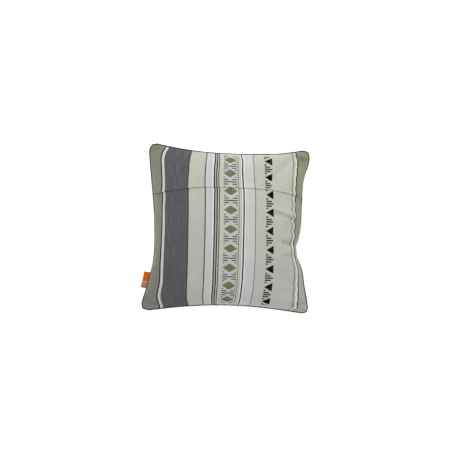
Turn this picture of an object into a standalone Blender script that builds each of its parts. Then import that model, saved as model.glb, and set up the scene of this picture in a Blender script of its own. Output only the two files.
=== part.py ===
"""Square scatter cushion with a lapped back panel and a folded side label, lying on its front face.

Lengths are metres. X runs to the right and Y to the top edge of the lapped face, which looks up along +Z.
"""
import math
from collections import namedtuple

import bmesh
import bpy
from mathutils import Vector

# Corners of the cover in plan, before they are rounded, and how far rounding moves each one
Corner = namedtuple("Corner", "x y cut")
CORNERS = {
    "nw": Corner(-0.198, 0.222, 0.0085),
    "ne": Corner(0.220, 0.200, 0.0060),
    "se": Corner(0.216, -0.225, 0.0045),
    "sw": Corner(-0.222, -0.217, 0.0065),
}
CORNER_SHARPNESS = 48

# Sides drawn in between the corners. Along each side the pull peaks later or earlier with its skew
Side = namedtuple("Side", "start end inward_x inward_y sag skew")
SIDES = {
    "north": Side("nw", "ne", 0, -1, 0.0177, 1.0),
    "south": Side("sw", "se", 0, 1, 0.0177, 1.0),
    "east": Side("ne", "se", -1, 0, 0.0195, 0.8),
    "west": Side("nw", "sw", 1, 0, 0.0278, 1.35),
}

# The place where the east side is pulled in, as a fraction of the side from its north end
NOTCH_AT = 0.60
NOTCH_WIDTH = 0.10
NOTCH_DEPTH = 0.0164

# Height of the seam above the floor, and the swell above and below it
SEAM_MID = 0.066
SEAM_CORNER = 0.052
TOP_CROWN = 0.066
BOTTOM_CROWN = 0.086
CROWN_POWER = 0.6

# Shoulder: how much faster the plan spreads than the cloth runs, so that the sides stand up from the seam.
# It fades towards the corners, which stay flat and eared
SHOULDER = 0.16
SHOULDER_POWER = 7
SHOULDER_FADE = 4

# Mesh of the cover: cells across, how far they crowd towards the seams, and the row that follows the lap
CELLS = 40
CROWDING = 0.25
LAP_ROW = 8
LAP_DROP = 0.006
LAP_DROOP = 0.063

# Pulls and folds that show on the upper face, each a soft trough from one point to another
Fold = namedtuple("Fold", "x0 y0 x1 y1 depth width")
FOLDS = (
    Fold(0.190, -0.045, 0.128, -0.030, 0.0060, 0.010),
    Fold(0.176, 0.026, 0.128, 0.039, 0.0035, 0.008),
    Fold(0.174, -0.058, 0.130, -0.008, 0.0030, 0.009),
    Fold(0.212, 0.172, 0.184, 0.189, 0.0035, 0.006),
    Fold(0.210, -0.199, 0.174, -0.204, 0.0035, 0.006),
    Fold(-0.205, -0.200, -0.120, -0.118, 0.0025, 0.011),
    Fold(-0.183, 0.206, -0.110, 0.130, 0.0025, 0.012),
)

# How soon the folds reach their full depth above the seam
FOLD_ONSET = 4

# Puckers along the seam. Their pace wavers, and they fade away from the seam and at the corners
PUCKER_DEPTH = 0.0012
PUCKERS_PER_METRE = 15
PUCKER_WAVER = 1.7
PUCKER_REACH = 10
PUCKER_CORNER_FADE = 4

# Upper back panel
PANEL_GAP = 0.0004
PANEL_THICKNESS = 0.0016
HEM_THICKNESS = 0.0026
HEM_ROWS = 2
PANEL_INSET = 1

# Folded label, placed by fractions of the west side from its north end
LABEL_START = 0.775
LABEL_END = 0.863
LABEL_REACH = 0.0165
LABEL_THICKNESS = 0.0020
LABEL_GAP = 0.0005
LABEL_DROOP = 0.0030
LABEL_CELLS = 10
LABEL_REACH_CELLS = 4
LABEL_FOLD_BEVEL = 0.03

# Colours are linear
CLOTH_COLOUR = (0.50, 0.51, 0.44)
PANEL_COLOUR = (0.54, 0.55, 0.48)
LABEL_COLOUR = (0.45, 0.12, 0.012)
CLOTH_ROUGHNESS = 0.9
LABEL_ROUGHNESS = 0.7

STEP = 1e-4


def spread(k):
    """Crowds the grid towards the seams, where the cloth turns most."""
    return k * (1 + CROWDING * (1 - k * k))


def side_point(name, f):
    """Point on a drawn-in side, at a fraction of it from its first corner."""
    side = SIDES[name]
    start = CORNERS[side.start]
    end = CORNERS[side.end]
    f = min(max(f, 0.0), 1.0)
    pull = side.sag * math.sin(math.pi * f ** side.skew)
    if name == "east":
        pull += NOTCH_DEPTH * math.exp(-((f - NOTCH_AT) / NOTCH_WIDTH) ** 2)
    x = start.x + (end.x - start.x) * f + side.inward_x * pull
    y = start.y + (end.y - start.y) * f + side.inward_y * pull
    return Vector((x, y))


def flat_point(u, v):
    """Plan of the cover, blended between its four sides. u and v run from 0 at the south-west corner to 1."""
    north = side_point("north", u)
    south = side_point("south", u)
    west = side_point("west", 1 - v)
    east = side_point("east", 1 - v)
    point = (1 - v) * south + v * north + (1 - u) * west + u * east
    weights = {"sw": (1 - u) * (1 - v), "se": u * (1 - v), "nw": (1 - u) * v, "ne": u * v}
    for name, weight in weights.items():
        corner = Vector((CORNERS[name].x, CORNERS[name].y))
        rounding = CORNERS[name].cut * weight ** CORNER_SHARPNESS
        point -= weight * corner + rounding * corner.normalized()
    return point


def plan_fraction(s, other):
    """Place across the plan, -1 to 1, of the place s across the cloth. other is the place along it."""
    shoulder = SHOULDER * (1 - abs(other) ** SHOULDER_FADE)
    return s + shoulder * (s - math.copysign(abs(s) ** SHOULDER_POWER, s))


def swell(s, t):
    """Rise of the cloth between its seams, from 0 on a seam to 1 in the middle."""
    return (max(1 - s * s, 0.0) * max(1 - t * t, 0.0)) ** CROWN_POWER


def seam_height(s, t):
    return SEAM_MID - (SEAM_MID - SEAM_CORNER) * (s * t) ** 2


def fold_drop(x, y):
    """Depth of the folds at a place in plan."""
    drop = 0.0
    for fold in FOLDS:
        run_x = fold.x1 - fold.x0
        run_y = fold.y1 - fold.y0
        along = ((x - fold.x0) * run_x + (y - fold.y0) * run_y) / (run_x ** 2 + run_y ** 2)
        along = min(max(along, 0.0), 1.0)
        away = math.hypot(x - fold.x0 - run_x * along, y - fold.y0 - run_y * along)
        drop += fold.depth * math.exp(-(away / fold.width) ** 2)
    return drop


def pucker_drop(s, t, x, y):
    """Depth of the small gathers near the seam."""
    drop = 0.0
    for from_middle, beside, along in ((s, t, y), (t, s, x)):
        turns = along * PUCKERS_PER_METRE
        wave = 1 + math.sin(2 * math.pi * turns + PUCKER_WAVER * math.sin(turns))
        near_seam = abs(from_middle) ** PUCKER_REACH * (1 - abs(beside) ** PUCKER_CORNER_FADE)
        drop += PUCKER_DEPTH * near_seam * wave
    return drop


def cover_point(s, t, upper):
    """Point of the filled cover. s and t run across the cloth from -1 to 1."""
    u = (plan_fraction(s, t) + 1) / 2
    v = (plan_fraction(t, s) + 1) / 2
    plan = flat_point(u, v)
    rise = swell(s, t)
    seam = seam_height(s, t)
    if not upper:
        return Vector((plan.x, plan.y, max(seam - BOTTOM_CROWN * rise, 0.0)))
    off_seam = min(FOLD_ONSET * rise, 1.0)
    drop = fold_drop(plan.x, plan.y) + pucker_drop(s, t, plan.x, plan.y)
    return Vector((plan.x, plan.y, seam + TOP_CROWN * rise - off_seam * drop))


def cloth_place(kx, ky):
    """Place on the cloth of a grid place. One row of the grid follows the lap, which droops at its ends."""
    s = spread(kx)
    t = spread(ky)
    lap = spread(2 * LAP_ROW / CELLS)
    t -= (LAP_DROP + LAP_DROOP * s * s) * (1 - t * t) / (1 - lap * lap)
    return s, t


def new_object(name, mesh_data, colour, roughness, collection):
    mesh = bpy.data.meshes.new(name)
    mesh_data.to_mesh(mesh)
    mesh_data.free()
    mesh.shade_smooth()
    material = bpy.data.materials.new(name)
    material.use_nodes = True
    shader = material.node_tree.nodes["Principled BSDF"]
    shader.inputs["Base Color"].default_value = (*colour, 1.0)
    shader.inputs["Roughness"].default_value = roughness
    shader.inputs["Metallic"].default_value = 0.0
    mesh.materials.append(material)
    thing = bpy.data.objects.new(name, mesh)
    collection.objects.link(thing)
    return thing


def make_cushion(collection):
    """Filled body: an upper and a lower face joined along the seam."""
    body = bmesh.new()
    for upper in (True, False):
        made = bmesh.ops.create_grid(body, x_segments=CELLS, y_segments=CELLS, size=1.0)
        for vert in made["verts"]:
            s, t = cloth_place(vert.co.x, vert.co.y)
            vert.co = cover_point(s, t, upper)
    bmesh.ops.remove_doubles(body, verts=body.verts, dist=1e-5)
    bmesh.ops.triangulate(body, faces=body.faces, quad_method="FIXED")
    bmesh.ops.recalc_face_normals(body, faces=body.faces)
    return new_object("cushion", body, CLOTH_COLOUR, CLOTH_ROUGHNESS, collection)


def make_flap(collection):
    """Upper back panel: a sheet over the same grid places as the body, from the lap to just short of the seam."""
    inset = 2 * PANEL_INSET / CELLS
    lap = 2 * LAP_ROW / CELLS
    columns = CELLS - 2 * PANEL_INSET
    rows = CELLS // 2 - LAP_ROW - PANEL_INSET
    sheet = bmesh.new()
    made = bmesh.ops.create_grid(sheet, x_segments=columns, y_segments=rows, size=1.0)
    hem = lap + 2 * (HEM_ROWS + 0.5) / CELLS
    thickness = {}
    for vert in made["verts"]:
        kx = vert.co.x * (1 - inset)
        ky = lap + (vert.co.y + 1) / 2 * (1 - inset - lap)
        s, t = cloth_place(kx, ky)
        vert.co = cover_point(s, t, True)
        thickness[vert] = HEM_THICKNESS if ky < hem else PANEL_THICKNESS
    bmesh.ops.triangulate(sheet, faces=sheet.faces, quad_method="FIXED")
    sheet.normal_update()
    normals = {vert: vert.normal.copy() for vert in thickness}
    turned = bmesh.ops.duplicate(sheet, geom=list(sheet.verts) + list(sheet.edges) + list(sheet.faces))
    for vert, normal in normals.items():
        outer = turned["vert_map"][vert]
        outer.co = vert.co + normal * (PANEL_GAP + thickness[vert])
        vert.co += normal * PANEL_GAP
    rims = [edge for edge in sheet.edges if edge.is_boundary]
    bmesh.ops.bridge_loops(sheet, edges=rims)
    bmesh.ops.recalc_face_normals(sheet, faces=sheet.faces)
    return new_object("flap", sheet, PANEL_COLOUR, CLOTH_ROUGHNESS, collection)


def edge_run(edge):
    """How far an edge runs along each axis."""
    first, last = edge.verts
    return [abs(first.co[axis] - last.co[axis]) for axis in range(3)]


def make_label(collection):
    """Folded tape that stands out of the west seam. It starts as a unit cube whose -X side becomes the fold."""
    tape = bmesh.new()
    bmesh.ops.create_cube(tape, size=1.0)
    for axis, cells in ((0, LABEL_REACH_CELLS), (1, LABEL_CELLS)):
        spans = [edge for edge in tape.edges if edge_run(edge)[axis] > 0.9]
        bmesh.ops.subdivide_edges(tape, edges=spans, cuts=cells - 1, use_grid_fill=True)
    far_side = [edge for edge in tape.edges if all(vert.co.x < -0.49 for vert in edge.verts)]
    fold = [edge for edge in far_side if edge_run(edge)[1] > 0]
    bmesh.ops.bevel(tape, geom=fold, offset=LABEL_FOLD_BEVEL, segments=2, profile=0.5, affect="EDGES")
    for vert in tape.verts:
        f = LABEL_START + (LABEL_END - LABEL_START) * (0.5 - vert.co.y)
        foot = flat_point(0.0, 1 - f)
        tangent = flat_point(0.0, 1 - f - STEP) - flat_point(0.0, 1 - f + STEP)
        away = Vector((tangent.y, -tangent.x)).normalized()
        reach = 0.5 - vert.co.x
        place = foot + away * (LABEL_GAP + LABEL_REACH * reach)
        seam = seam_height(-1.0, 1 - 2 * f)
        height = seam + LABEL_THICKNESS * vert.co.z - LABEL_DROOP * reach ** 2
        vert.co = Vector((place.x, place.y, height))
    return new_object("label", tape, LABEL_COLOUR, LABEL_ROUGHNESS, collection)


def centre(things):
    """Puts the middle of the whole footprint over the origin."""
    for axis in (0, 1):
        places = [vert.co[axis] for thing in things for vert in thing.data.vertices]
        middle = (min(places) + max(places)) / 2
        for thing in things:
            for vert in thing.data.vertices:
                vert.co[axis] -= middle


def main():
    for thing in list(bpy.data.objects):
        bpy.data.objects.remove(thing)
    collection = bpy.data.collections.new("embroidered cushion")
    bpy.context.scene.collection.children.link(collection)
    things = [make_cushion(collection), make_flap(collection), make_label(collection)]
    centre(things)


main()
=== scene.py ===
"""Looks of the embroidered cushion: cover, lapped panel, seam, embroidery, label, lights and camera.

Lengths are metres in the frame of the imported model. The cover is cut flat, drawn in and filled by a cloth
simulation. Later pieces are placed on it by cloth coordinates: s across and t up, each from -1 to 1.
"""
import math
from collections import namedtuple

import bpy
import numpy as np
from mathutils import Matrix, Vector


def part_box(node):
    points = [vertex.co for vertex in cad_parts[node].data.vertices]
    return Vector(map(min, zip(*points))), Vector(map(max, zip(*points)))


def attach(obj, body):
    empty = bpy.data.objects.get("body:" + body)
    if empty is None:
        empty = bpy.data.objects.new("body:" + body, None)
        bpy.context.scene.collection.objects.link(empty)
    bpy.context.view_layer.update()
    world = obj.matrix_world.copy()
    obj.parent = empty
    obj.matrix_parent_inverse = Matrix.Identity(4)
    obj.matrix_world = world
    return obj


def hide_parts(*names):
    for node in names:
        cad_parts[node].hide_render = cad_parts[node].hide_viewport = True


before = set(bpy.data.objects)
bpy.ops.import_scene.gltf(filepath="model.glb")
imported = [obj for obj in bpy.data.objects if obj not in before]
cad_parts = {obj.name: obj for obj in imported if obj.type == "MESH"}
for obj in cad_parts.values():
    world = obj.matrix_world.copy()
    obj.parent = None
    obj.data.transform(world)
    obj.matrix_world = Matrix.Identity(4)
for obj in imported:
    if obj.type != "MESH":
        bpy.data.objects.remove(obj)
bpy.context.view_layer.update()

# Photograph: real size of one pixel, the cushion's middle in it, and the picture's own middle
PIXEL = 0.0026
CUSHION_PIXEL = (225.3, 227.8)
PICTURE_PIXELS = 452
CAMERA_HEIGHT = 4.0
SENSOR = 0.036

# Corners of the cover in plan before they are rounded, and their radii
Corner = namedtuple("Corner", "x y radius")
CORNERS = {
    "nw": Corner(-0.1990, 0.2250, 0.030),
    "ne": Corner(0.2240, 0.2032, 0.028),
    "se": Corner(0.2170, -0.2255, 0.023),
    "sw": Corner(-0.2262, -0.2182, 0.035),
}

# Sides drawn in between the corners. Along each side the pull peaks later or earlier with its skew. Local
# pulls are added: the east side bulges out to an ear below its upper corner and has a notch past its middle
Side = namedtuple("Side", "start end inward_x inward_y sag skew")
SIDES = {
    "north": Side("nw", "ne", 0, -1, 0.0196, 0.90),
    "south": Side("sw", "se", 0, 1, 0.0188, 1.0),
    "east": Side("ne", "se", -1, 0, 0.0218, 0.76),
    "west": Side("nw", "sw", 1, 0, 0.0280, 1.35),
}
Pull = namedtuple("Pull", "at width depth")
PULLS = {
    "north": (Pull(0.80, 0.11, 0.0030),),
    "south": (),
    "east": (
        Pull(0.085, 0.060, -0.0045),
        Pull(0.200, 0.070, 0.0016),
        Pull(0.615, 0.095, 0.0172),
        Pull(0.810, 0.070, 0.0026),
    ),
    "west": (Pull(0.700, 0.110, 0.0024),),
}

# Heights of the cover, as in the solid that it replaces
SEAM_MID = 0.066
SEAM_CORNER = 0.052
TOP_CROWN = 0.0655
BOTTOM_CROWN = 0.086

# Flat cut of the cloth and its simulation
CLOTH = 0.45
CUT = 0.433
RIM_EASE = 1.02
SIM_CELLS = 76
SIM_FRAMES = 24
DRAWN_BY_FRAME = 11
CLOTH_SETTINGS = {
    "vertex_group_mass": "rim",
    "quality": 6,
    "mass": 0.15,
    "tension_stiffness": 40,
    "compression_stiffness": 40,
    "shear_stiffness": 8,
    "bending_model": "ANGULAR",
    "bending_stiffness": 1.8,
    "tension_damping": 5,
    "compression_damping": 5,
    "shear_damping": 5,
    "air_damping": 2,
    "use_pressure": True,
    "uniform_pressure_force": 20,
}

# Finished form: room kept in plan for cloth that bulges past the seam, least slope beside the seam, and
# passes that ease sharp creases
OVERHANG = 0.0032
LEAST_SLOPE = 0.10
EASING_PASSES = 5

# Mesh of the finished cover: even cells, and the finer ones beside the seam
COVER_CELLS = 190
SEAM_CELLS = 5
FINE_CELLS = 300

# Folds of the face: ends of each, depth into the cover, below zero for a ridge, and width
Fold = namedtuple("Fold", "x0 y0 x1 y1 depth width")
FOLDS = [Fold(*row) for row in (
    (0.178, 0.0150, 0.178, -0.0150, -0.0050, 0.0280),
    (0.171, 0.0312, 0.132, 0.0475, -0.0048, 0.0056),
    (0.168, 0.0220, 0.129, 0.0382, 0.0047, 0.0046),
    (0.166, -0.0450, 0.152, -0.0395, 0.0060, 0.0058),
    (0.186, -0.0480, 0.140, -0.0360, 0.0022, 0.0080),
    (0.172, -0.0560, 0.135, -0.0760, -0.0022, 0.0080),
    (0.176, -0.0790, 0.150, -0.0720, 0.0016, 0.0050),
    (0.212, 0.1795, 0.190, 0.1930, -0.0054, 0.0046),
    (0.208, 0.1722, 0.186, 0.1858, 0.0076, 0.0044),
    (0.208, 0.1540, 0.186, 0.1650, 0.0030, 0.0045),
    (0.210, -0.1990, 0.174, -0.2040, 0.0045, 0.0050),
    (-0.196, 0.1960, -0.176, 0.2060, 0.0030, 0.0050),
    (-0.205, -0.1960, -0.180, -0.2040, 0.0030, 0.0050),
)]

# Finer relief of the face: the strip at the seam that stays smooth, the gathers next to it, and slack all
# over, as waves of a height, a pitch and a seed
SMOOTH_AT_SEAM = 0.006
SEAM_GATHER_HEIGHT = 0.0007
SEAM_GATHER_REACH = 0.018
SEAM_GATHER_PITCH = 0.022
SLACK_WAVES = ((0.0004, 0.045, 2), (0.0002, 0.018, 3))


def fading(distance, reach):
    """1 at a line, falling toward 0 with the distance from it."""
    return np.exp(-np.maximum(distance, 0) / reach)


def bell(distance, width):
    """1 on a line, falling to 0 on both sides of it."""
    return np.exp(-(distance / width) ** 2)


def side_points(name, f):
    """Points on a drawn-in side, at fractions of it from its first corner."""
    side = SIDES[name]
    start = CORNERS[side.start]
    end = CORNERS[side.end]
    pull = side.sag * np.sin(math.pi * f ** side.skew)
    for local in PULLS[name]:
        pull = pull + local.depth * bell(f - local.at, local.width)
    pull = pull + OVERHANG * np.sin(math.pi * f) ** 0.5
    x = start.x + (end.x - start.x) * f + side.inward_x * pull
    y = start.y + (end.y - start.y) * f + side.inward_y * pull
    return np.stack([x, y], -1)


def corner_shift(along, beside, radius):
    """Shift that rounds a right-angled corner, for points at these distances from its two sides."""
    near = np.minimum(along, beside)
    far = np.maximum(along, beside)
    inside = np.maximum(radius - near, 1e-9)
    angle = (1 - np.clip((far - near) / inside, 0, 1)) * math.pi / 4
    rounded = far < radius
    near_shift = np.where(rounded, radius - inside * np.cos(angle) - near, 0)
    far_shift = np.where(rounded, radius - inside * np.sin(angle) - far, 0)
    first = along > beside
    return np.where(first, far_shift, near_shift), np.where(first, near_shift, far_shift)


def plan_points(s, t):
    """Plan of the cover, blended between its four sides."""
    u = np.clip((s + 1) / 2, 0, 1)
    v = np.clip((t + 1) / 2, 0, 1)
    north = side_points("north", u)
    south = side_points("south", u)
    west = side_points("west", 1 - v)
    east = side_points("east", 1 - v)
    u = u[..., None]
    v = v[..., None]
    point = (1 - v) * south + v * north + (1 - u) * west + u * east
    weights = {"sw": (1 - u) * (1 - v), "se": u * (1 - v), "nw": (1 - u) * v, "ne": u * v}
    for name, weight in weights.items():
        corner = CORNERS[name]
        point = point - weight * np.array((corner.x, corner.y))
        from_x = np.where(corner.x < 0, u, 1 - u)[..., 0] * CLOTH
        from_y = np.where(corner.y < 0, v, 1 - v)[..., 0] * CLOTH
        shift_x, shift_y = corner_shift(from_x, from_y, corner.radius)
        point = point - np.stack([np.sign(corner.x) * shift_x, np.sign(corner.y) * shift_y], -1)
    return point


def ripple(x, y, pitch, seed):
    """Smooth uneven waves, mostly between -1 and 1, about a pitch apart."""
    chance = np.random.default_rng(seed)
    total = np.zeros(np.broadcast(x, y).shape)
    waves = 7
    for _ in range(waves):
        angle = chance.uniform(0, math.pi)
        length = pitch * chance.uniform(0.7, 1.5)
        phase = chance.uniform(0, 2 * math.pi)
        total += np.sin(2 * math.pi * (x * math.cos(angle) + y * math.sin(angle)) / length + phase)
    return total / math.sqrt(waves * 2)


def seam_height(s, t):
    return SEAM_MID - (SEAM_MID - SEAM_CORNER) * (s * t) ** 2


def seam_distance(s, t):
    """Distance on the cloth from the nearest seam."""
    return (1 - np.maximum(np.abs(s), np.abs(t))) * CLOTH / 2


def rim_length(name):
    points = side_points(name, np.linspace(0, 1, 200))
    return np.linalg.norm(np.diff(points, axis=0), axis=1).sum()


def grid_quads(numbers):
    """Quads over a grid of vertex numbers whose rows run from south to north, facing up."""
    corners = (numbers[:-1, :-1], numbers[:-1, 1:], numbers[1:, 1:], numbers[1:, :-1])
    return np.stack(corners, -1).reshape(-1, 4)


def two_sided_grid(count):
    """Vertex numbers of an upper and a lower grid that share their rim, and how many there are."""
    upper = np.arange(count * count).reshape(count, count)
    lower = upper.copy()
    inside = (count - 2) * (count - 2)
    lower[1:-1, 1:-1] = count * count + np.arange(inside).reshape(count - 2, count - 2)
    return upper, lower, count * count + inside


def new_object(name, data):
    item = bpy.data.objects.new(name, data)
    bpy.context.scene.collection.objects.link(item)
    return item


def new_mesh(name, points, faces):
    mesh = bpy.data.meshes.new(name)
    mesh.from_pydata(np.asarray(points).tolist(), [], [list(map(int, face)) for face in faces])
    mesh.shade_smooth()
    return mesh


def crown(s, t):
    power = 2.2
    return np.sqrt(np.clip(1 - np.abs(s) ** power, 0, 1) * np.clip(1 - np.abs(t) ** power, 0, 1))


def simulate_cover():
    """Upper and lower side of the cover as grids of points: cut flat, drawn in at the rim and filled."""
    count = SIM_CELLS + 1
    k = np.linspace(-1, 1, count)
    s, t = np.meshgrid(k, k)
    plan = plan_points(s, t)
    seam = seam_height(s, t)
    rise = crown(s, t)
    across = np.where(t > 0, rim_length("north"), rim_length("south")) * RIM_EASE / CUT
    along = np.where(s > 0, rim_length("east"), rim_length("west")) * RIM_EASE / CUT
    flat_x = s * CUT / 2 * (1 - (1 - across) * t ** 4)
    flat_y = t * CUT / 2 * (1 - (1 - along) * s ** 4)

    upper, lower, total = two_sided_grid(count)
    cut = np.zeros((total, 3))
    drawn = np.zeros((total, 3))
    start_bulge = 0.01
    cut[lower] = np.dstack([flat_x, flat_y, seam - start_bulge * rise])
    cut[upper] = np.dstack([flat_x, flat_y, seam + start_bulge * rise])
    drawn[lower] = np.dstack([plan, seam - SEAM_MID * rise])
    drawn[upper] = np.dstack([plan, seam + TOP_CROWN * rise])
    drawn = fill(cut, drawn, upper, lower)
    return drawn[upper], drawn[lower]


def cut_cloth(cut, drawn, upper, lower):
    """The cut cloth with its rim pinned, and a shape key that draws it in over the first frames."""
    faces = np.vstack([grid_quads(upper), grid_quads(lower)[:, ::-1]])
    cloth = new_object("cloth", new_mesh("cloth", cut, faces))
    cloth.shape_key_add(name="cut")
    key = cloth.shape_key_add(name="drawn in")
    key.data.foreach_set("co", drawn.astype(np.float32).ravel())
    key.value = 0
    key.keyframe_insert("value", frame=1)
    key.value = 1
    key.keyframe_insert("value", frame=DRAWN_BY_FRAME)
    rim = cloth.vertex_groups.new(name="rim")
    rim.add([int(number) for number in upper[upper == lower]], 1.0, "REPLACE")
    return cloth


def fill(cut, drawn, upper, lower):
    """Points of the cut cloth after its rim is drawn in and pressure fills it."""
    cloth = cut_cloth(cut, drawn, upper, lower)
    modifier = cloth.modifiers.new("cloth", "CLOTH")
    for setting, value in CLOTH_SETTINGS.items():
        setattr(modifier.settings, setting, value)
    modifier.settings.effector_weights.gravity = 0
    modifier.collision_settings.use_collision = False
    modifier.collision_settings.use_self_collision = False
    modifier.point_cache.frame_end = SIM_FRAMES
    scene = bpy.context.scene
    for step in range(1, SIM_FRAMES + 1):
        scene.frame_set(step)
    filled = cloth.evaluated_get(bpy.context.evaluated_depsgraph_get())
    points = np.zeros(len(filled.data.vertices) * 3, np.float32)
    filled.data.vertices.foreach_get("co", points)
    mesh = cloth.data
    action = mesh.shape_keys.animation_data.action
    bpy.data.objects.remove(cloth)
    bpy.data.meshes.remove(mesh)
    bpy.data.actions.remove(action)
    scene.frame_set(1)
    return points.reshape(-1, 3).astype(float)


def padded_grid(points):
    """A grid with one more row and column on each side, carried on straight."""
    for axis in (0, 1):
        first = 2 * points.take([0], axis) - points.take([1], axis)
        last = 2 * points.take([-1], axis) - points.take([-2], axis)
        points = np.concatenate([first, points, last], axis)
    return points


def cubic_weights(f):
    return (
        0.5 * (-f + 2 * f ** 2 - f ** 3),
        0.5 * (2 - 5 * f ** 2 + 3 * f ** 3),
        0.5 * (f + 4 * f ** 2 - 3 * f ** 3),
        0.5 * (-f ** 2 + f ** 3),
    )


def sample(grid, s, t):
    """Smooth points of a padded grid at cloth places."""
    cells = grid.shape[0] - 3
    s, t = np.broadcast_arrays(s, t)
    x = np.clip((s + 1) / 2, 0, 1) * cells
    y = np.clip((t + 1) / 2, 0, 1) * cells
    i = np.minimum(x.astype(int), cells - 1)
    j = np.minimum(y.astype(int), cells - 1)
    total = np.zeros(s.shape + (3,))
    for b, weight_y in enumerate(cubic_weights(y - j)):
        for a, weight_x in enumerate(cubic_weights(x - i)):
            total += (weight_x * weight_y)[..., None] * grid[j + b, i + a]
    return total


def normals(grid, s, t, step=2e-3):
    """Upward normals of a padded grid's surface at cloth places."""
    across = sample(grid, s + step, t) - sample(grid, s - step, t)
    along = sample(grid, s, t + step) - sample(grid, s, t - step)
    normal = np.cross(across, along)
    return normal / np.linalg.norm(normal, axis=-1, keepdims=True)


def eased(points, passes):
    """A grid of points with its inside averaged with its neighbours, which softens sharp creases."""
    for _ in range(passes):
        around = points[:-2, 1:-1] + points[2:, 1:-1] + points[1:-1, :-2] + points[1:-1, 2:]
        points = points.copy()
        points[1:-1, 1:-1] = points[1:-1, 1:-1] / 2 + around / 8
    return points


def fold_depth(x, y):
    """How deep the folds press into the face at places in plan."""
    depth = np.zeros(x.shape)
    for fold in FOLDS:
        run_x = fold.x1 - fold.x0
        run_y = fold.y1 - fold.y0
        part = np.clip(((x - fold.x0) * run_x + (y - fold.y0) * run_y) / (run_x ** 2 + run_y ** 2), 0, 1)
        away = np.hypot(x - fold.x0 - run_x * part, y - fold.y0 - run_y * part)
        depth += fold.depth * bell(away, fold.width)
    return depth


def move_over_solid(top, bottom):
    """Moves both sides as one, so that their footprint has the same middle as the solid's."""
    low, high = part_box("cushion")
    for axis in (0, 1):
        middle = (top[..., axis].min() + top[..., axis].max()) / 2
        SHIFT[axis] = (low[axis] + high[axis]) / 2 - middle
        top[..., axis] += SHIFT[axis]
        bottom[..., axis] += SHIFT[axis]


def make_skins():
    """Fine grids of the cover's upper and lower side, at their real heights and with their relief."""
    above, below = simulate_cover()
    k = np.linspace(-1, 1, FINE_CELLS + 1)
    s, t = np.meshgrid(k, k)
    seam = seam_height(s, t)
    top = sample(padded_grid(eased(above, EASING_PASSES)), s, t)
    bottom = sample(padded_grid(below), s, t)
    to_seam = seam_distance(s, t)
    rise = np.maximum(top[..., 2] - seam, LEAST_SLOPE * to_seam)
    top[..., 2] = seam + rise * TOP_CROWN / rise.max()
    fall = np.maximum(seam - bottom[..., 2], LEAST_SLOPE * to_seam)
    bottom[..., 2] = np.maximum(seam - fall * BOTTOM_CROWN / fall.max(), 0)

    x, y = top[..., 0], top[..., 1]
    off_seam = 1 - fading(to_seam, SMOOTH_AT_SEAM)
    gathers = SEAM_GATHER_HEIGHT * fading(to_seam, SEAM_GATHER_REACH) * ripple(x, y, SEAM_GATHER_PITCH, 1)
    slack = sum(height * ripple(x, y, pitch, seed) for height, pitch, seed in SLACK_WAVES)
    up = normals(padded_grid(top), s, t)
    top += up * ((gathers + slack - fold_depth(x, y)) * off_seam)[..., None]
    move_over_solid(top, bottom)
    return padded_grid(top), padded_grid(bottom)


# How far the cover is moved to lie over the solid, which the camera follows
SHIFT = [0.0, 0.0]
TOP, BOTTOM = make_skins()


# Stripes of the woven cloth, one of them a painted fold shadow: where each starts, west to east, at the
# middle of the cover's height
Stripe = namedtuple("Stripe", "start colour fleck")
SAGE = (129, 132, 116)
PALE_SAGE = (150, 153, 127)
# Black of the woven lines, and also of the painted fold shadow beside the west sage
INK_AND_FOLD_SHADE = (20, 21, 19)
DARK_GREEN = (62, 68, 54)
CHALK = (206, 207, 202)
WHITE = (228, 229, 225)
SHADED_WHITE = (172, 174, 165)
CHARCOAL = (90, 89, 93)
CHARCOAL_EDGE = (70, 71, 60)
OLIVE_LINE = (92, 95, 74)
CREAM = (190, 192, 178)
CREAM_GREY = (189, 190, 183)
CREAM_WARM = (196, 198, 185)
GROUND = (198, 199, 191)
MIST = (201, 201, 204)
MIST_WARM = (206, 206, 205)
GREY_LINE = (120, 122, 114)
STRIPES = [Stripe(*row) for row in (
    (-0.2250, SAGE, 0.10),
    # Painted shade: this dark line beside the west sage stands for the shadow of a fold
    (-0.1800, INK_AND_FOLD_SHADE, 0.05),
    (-0.1773, CHALK, 0.04),
    (-0.1690, CHARCOAL, 0.44),
    (-0.1062, CHARCOAL_EDGE, 0.08),
    (-0.1028, CREAM, 0.05),
    (-0.0800, CREAM_GREY, 0.05),
    (-0.0606, OLIVE_LINE, 0.05),
    (-0.0580, CHALK, 0.04),
    (-0.0530, MIST, 0.04),
    (-0.0398, WHITE, 0.03),
    (-0.0361, INK_AND_FOLD_SHADE, 0.03),
    (-0.0320, SHADED_WHITE, 0.03),
    (-0.0291, INK_AND_FOLD_SHADE, 0.03),
    (-0.0254, WHITE, 0.03),
    (-0.0229, OLIVE_LINE, 0.03),
    (-0.0207, GROUND, 0.04),
    (0.0319, GREY_LINE, 0.03),
    (0.0333, GROUND, 0.03),
    (0.0356, CREAM, 0.04),
    (0.0388, WHITE, 0.03),
    (0.0423, INK_AND_FOLD_SHADE, 0.03),
    (0.0466, WHITE, 0.03),
    (0.0500, MIST_WARM, 0.04),
    (0.0744, OLIVE_LINE, 0.05),
    (0.0770, CREAM_WARM, 0.05),
    (0.1690, GREY_LINE, 0.03),
    (0.1712, CREAM, 0.04),
    (0.1745, WHITE, 0.04),
    (0.1786, DARK_GREEN, 0.05),
    (0.1818, PALE_SAGE, 0.10),
)]

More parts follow.
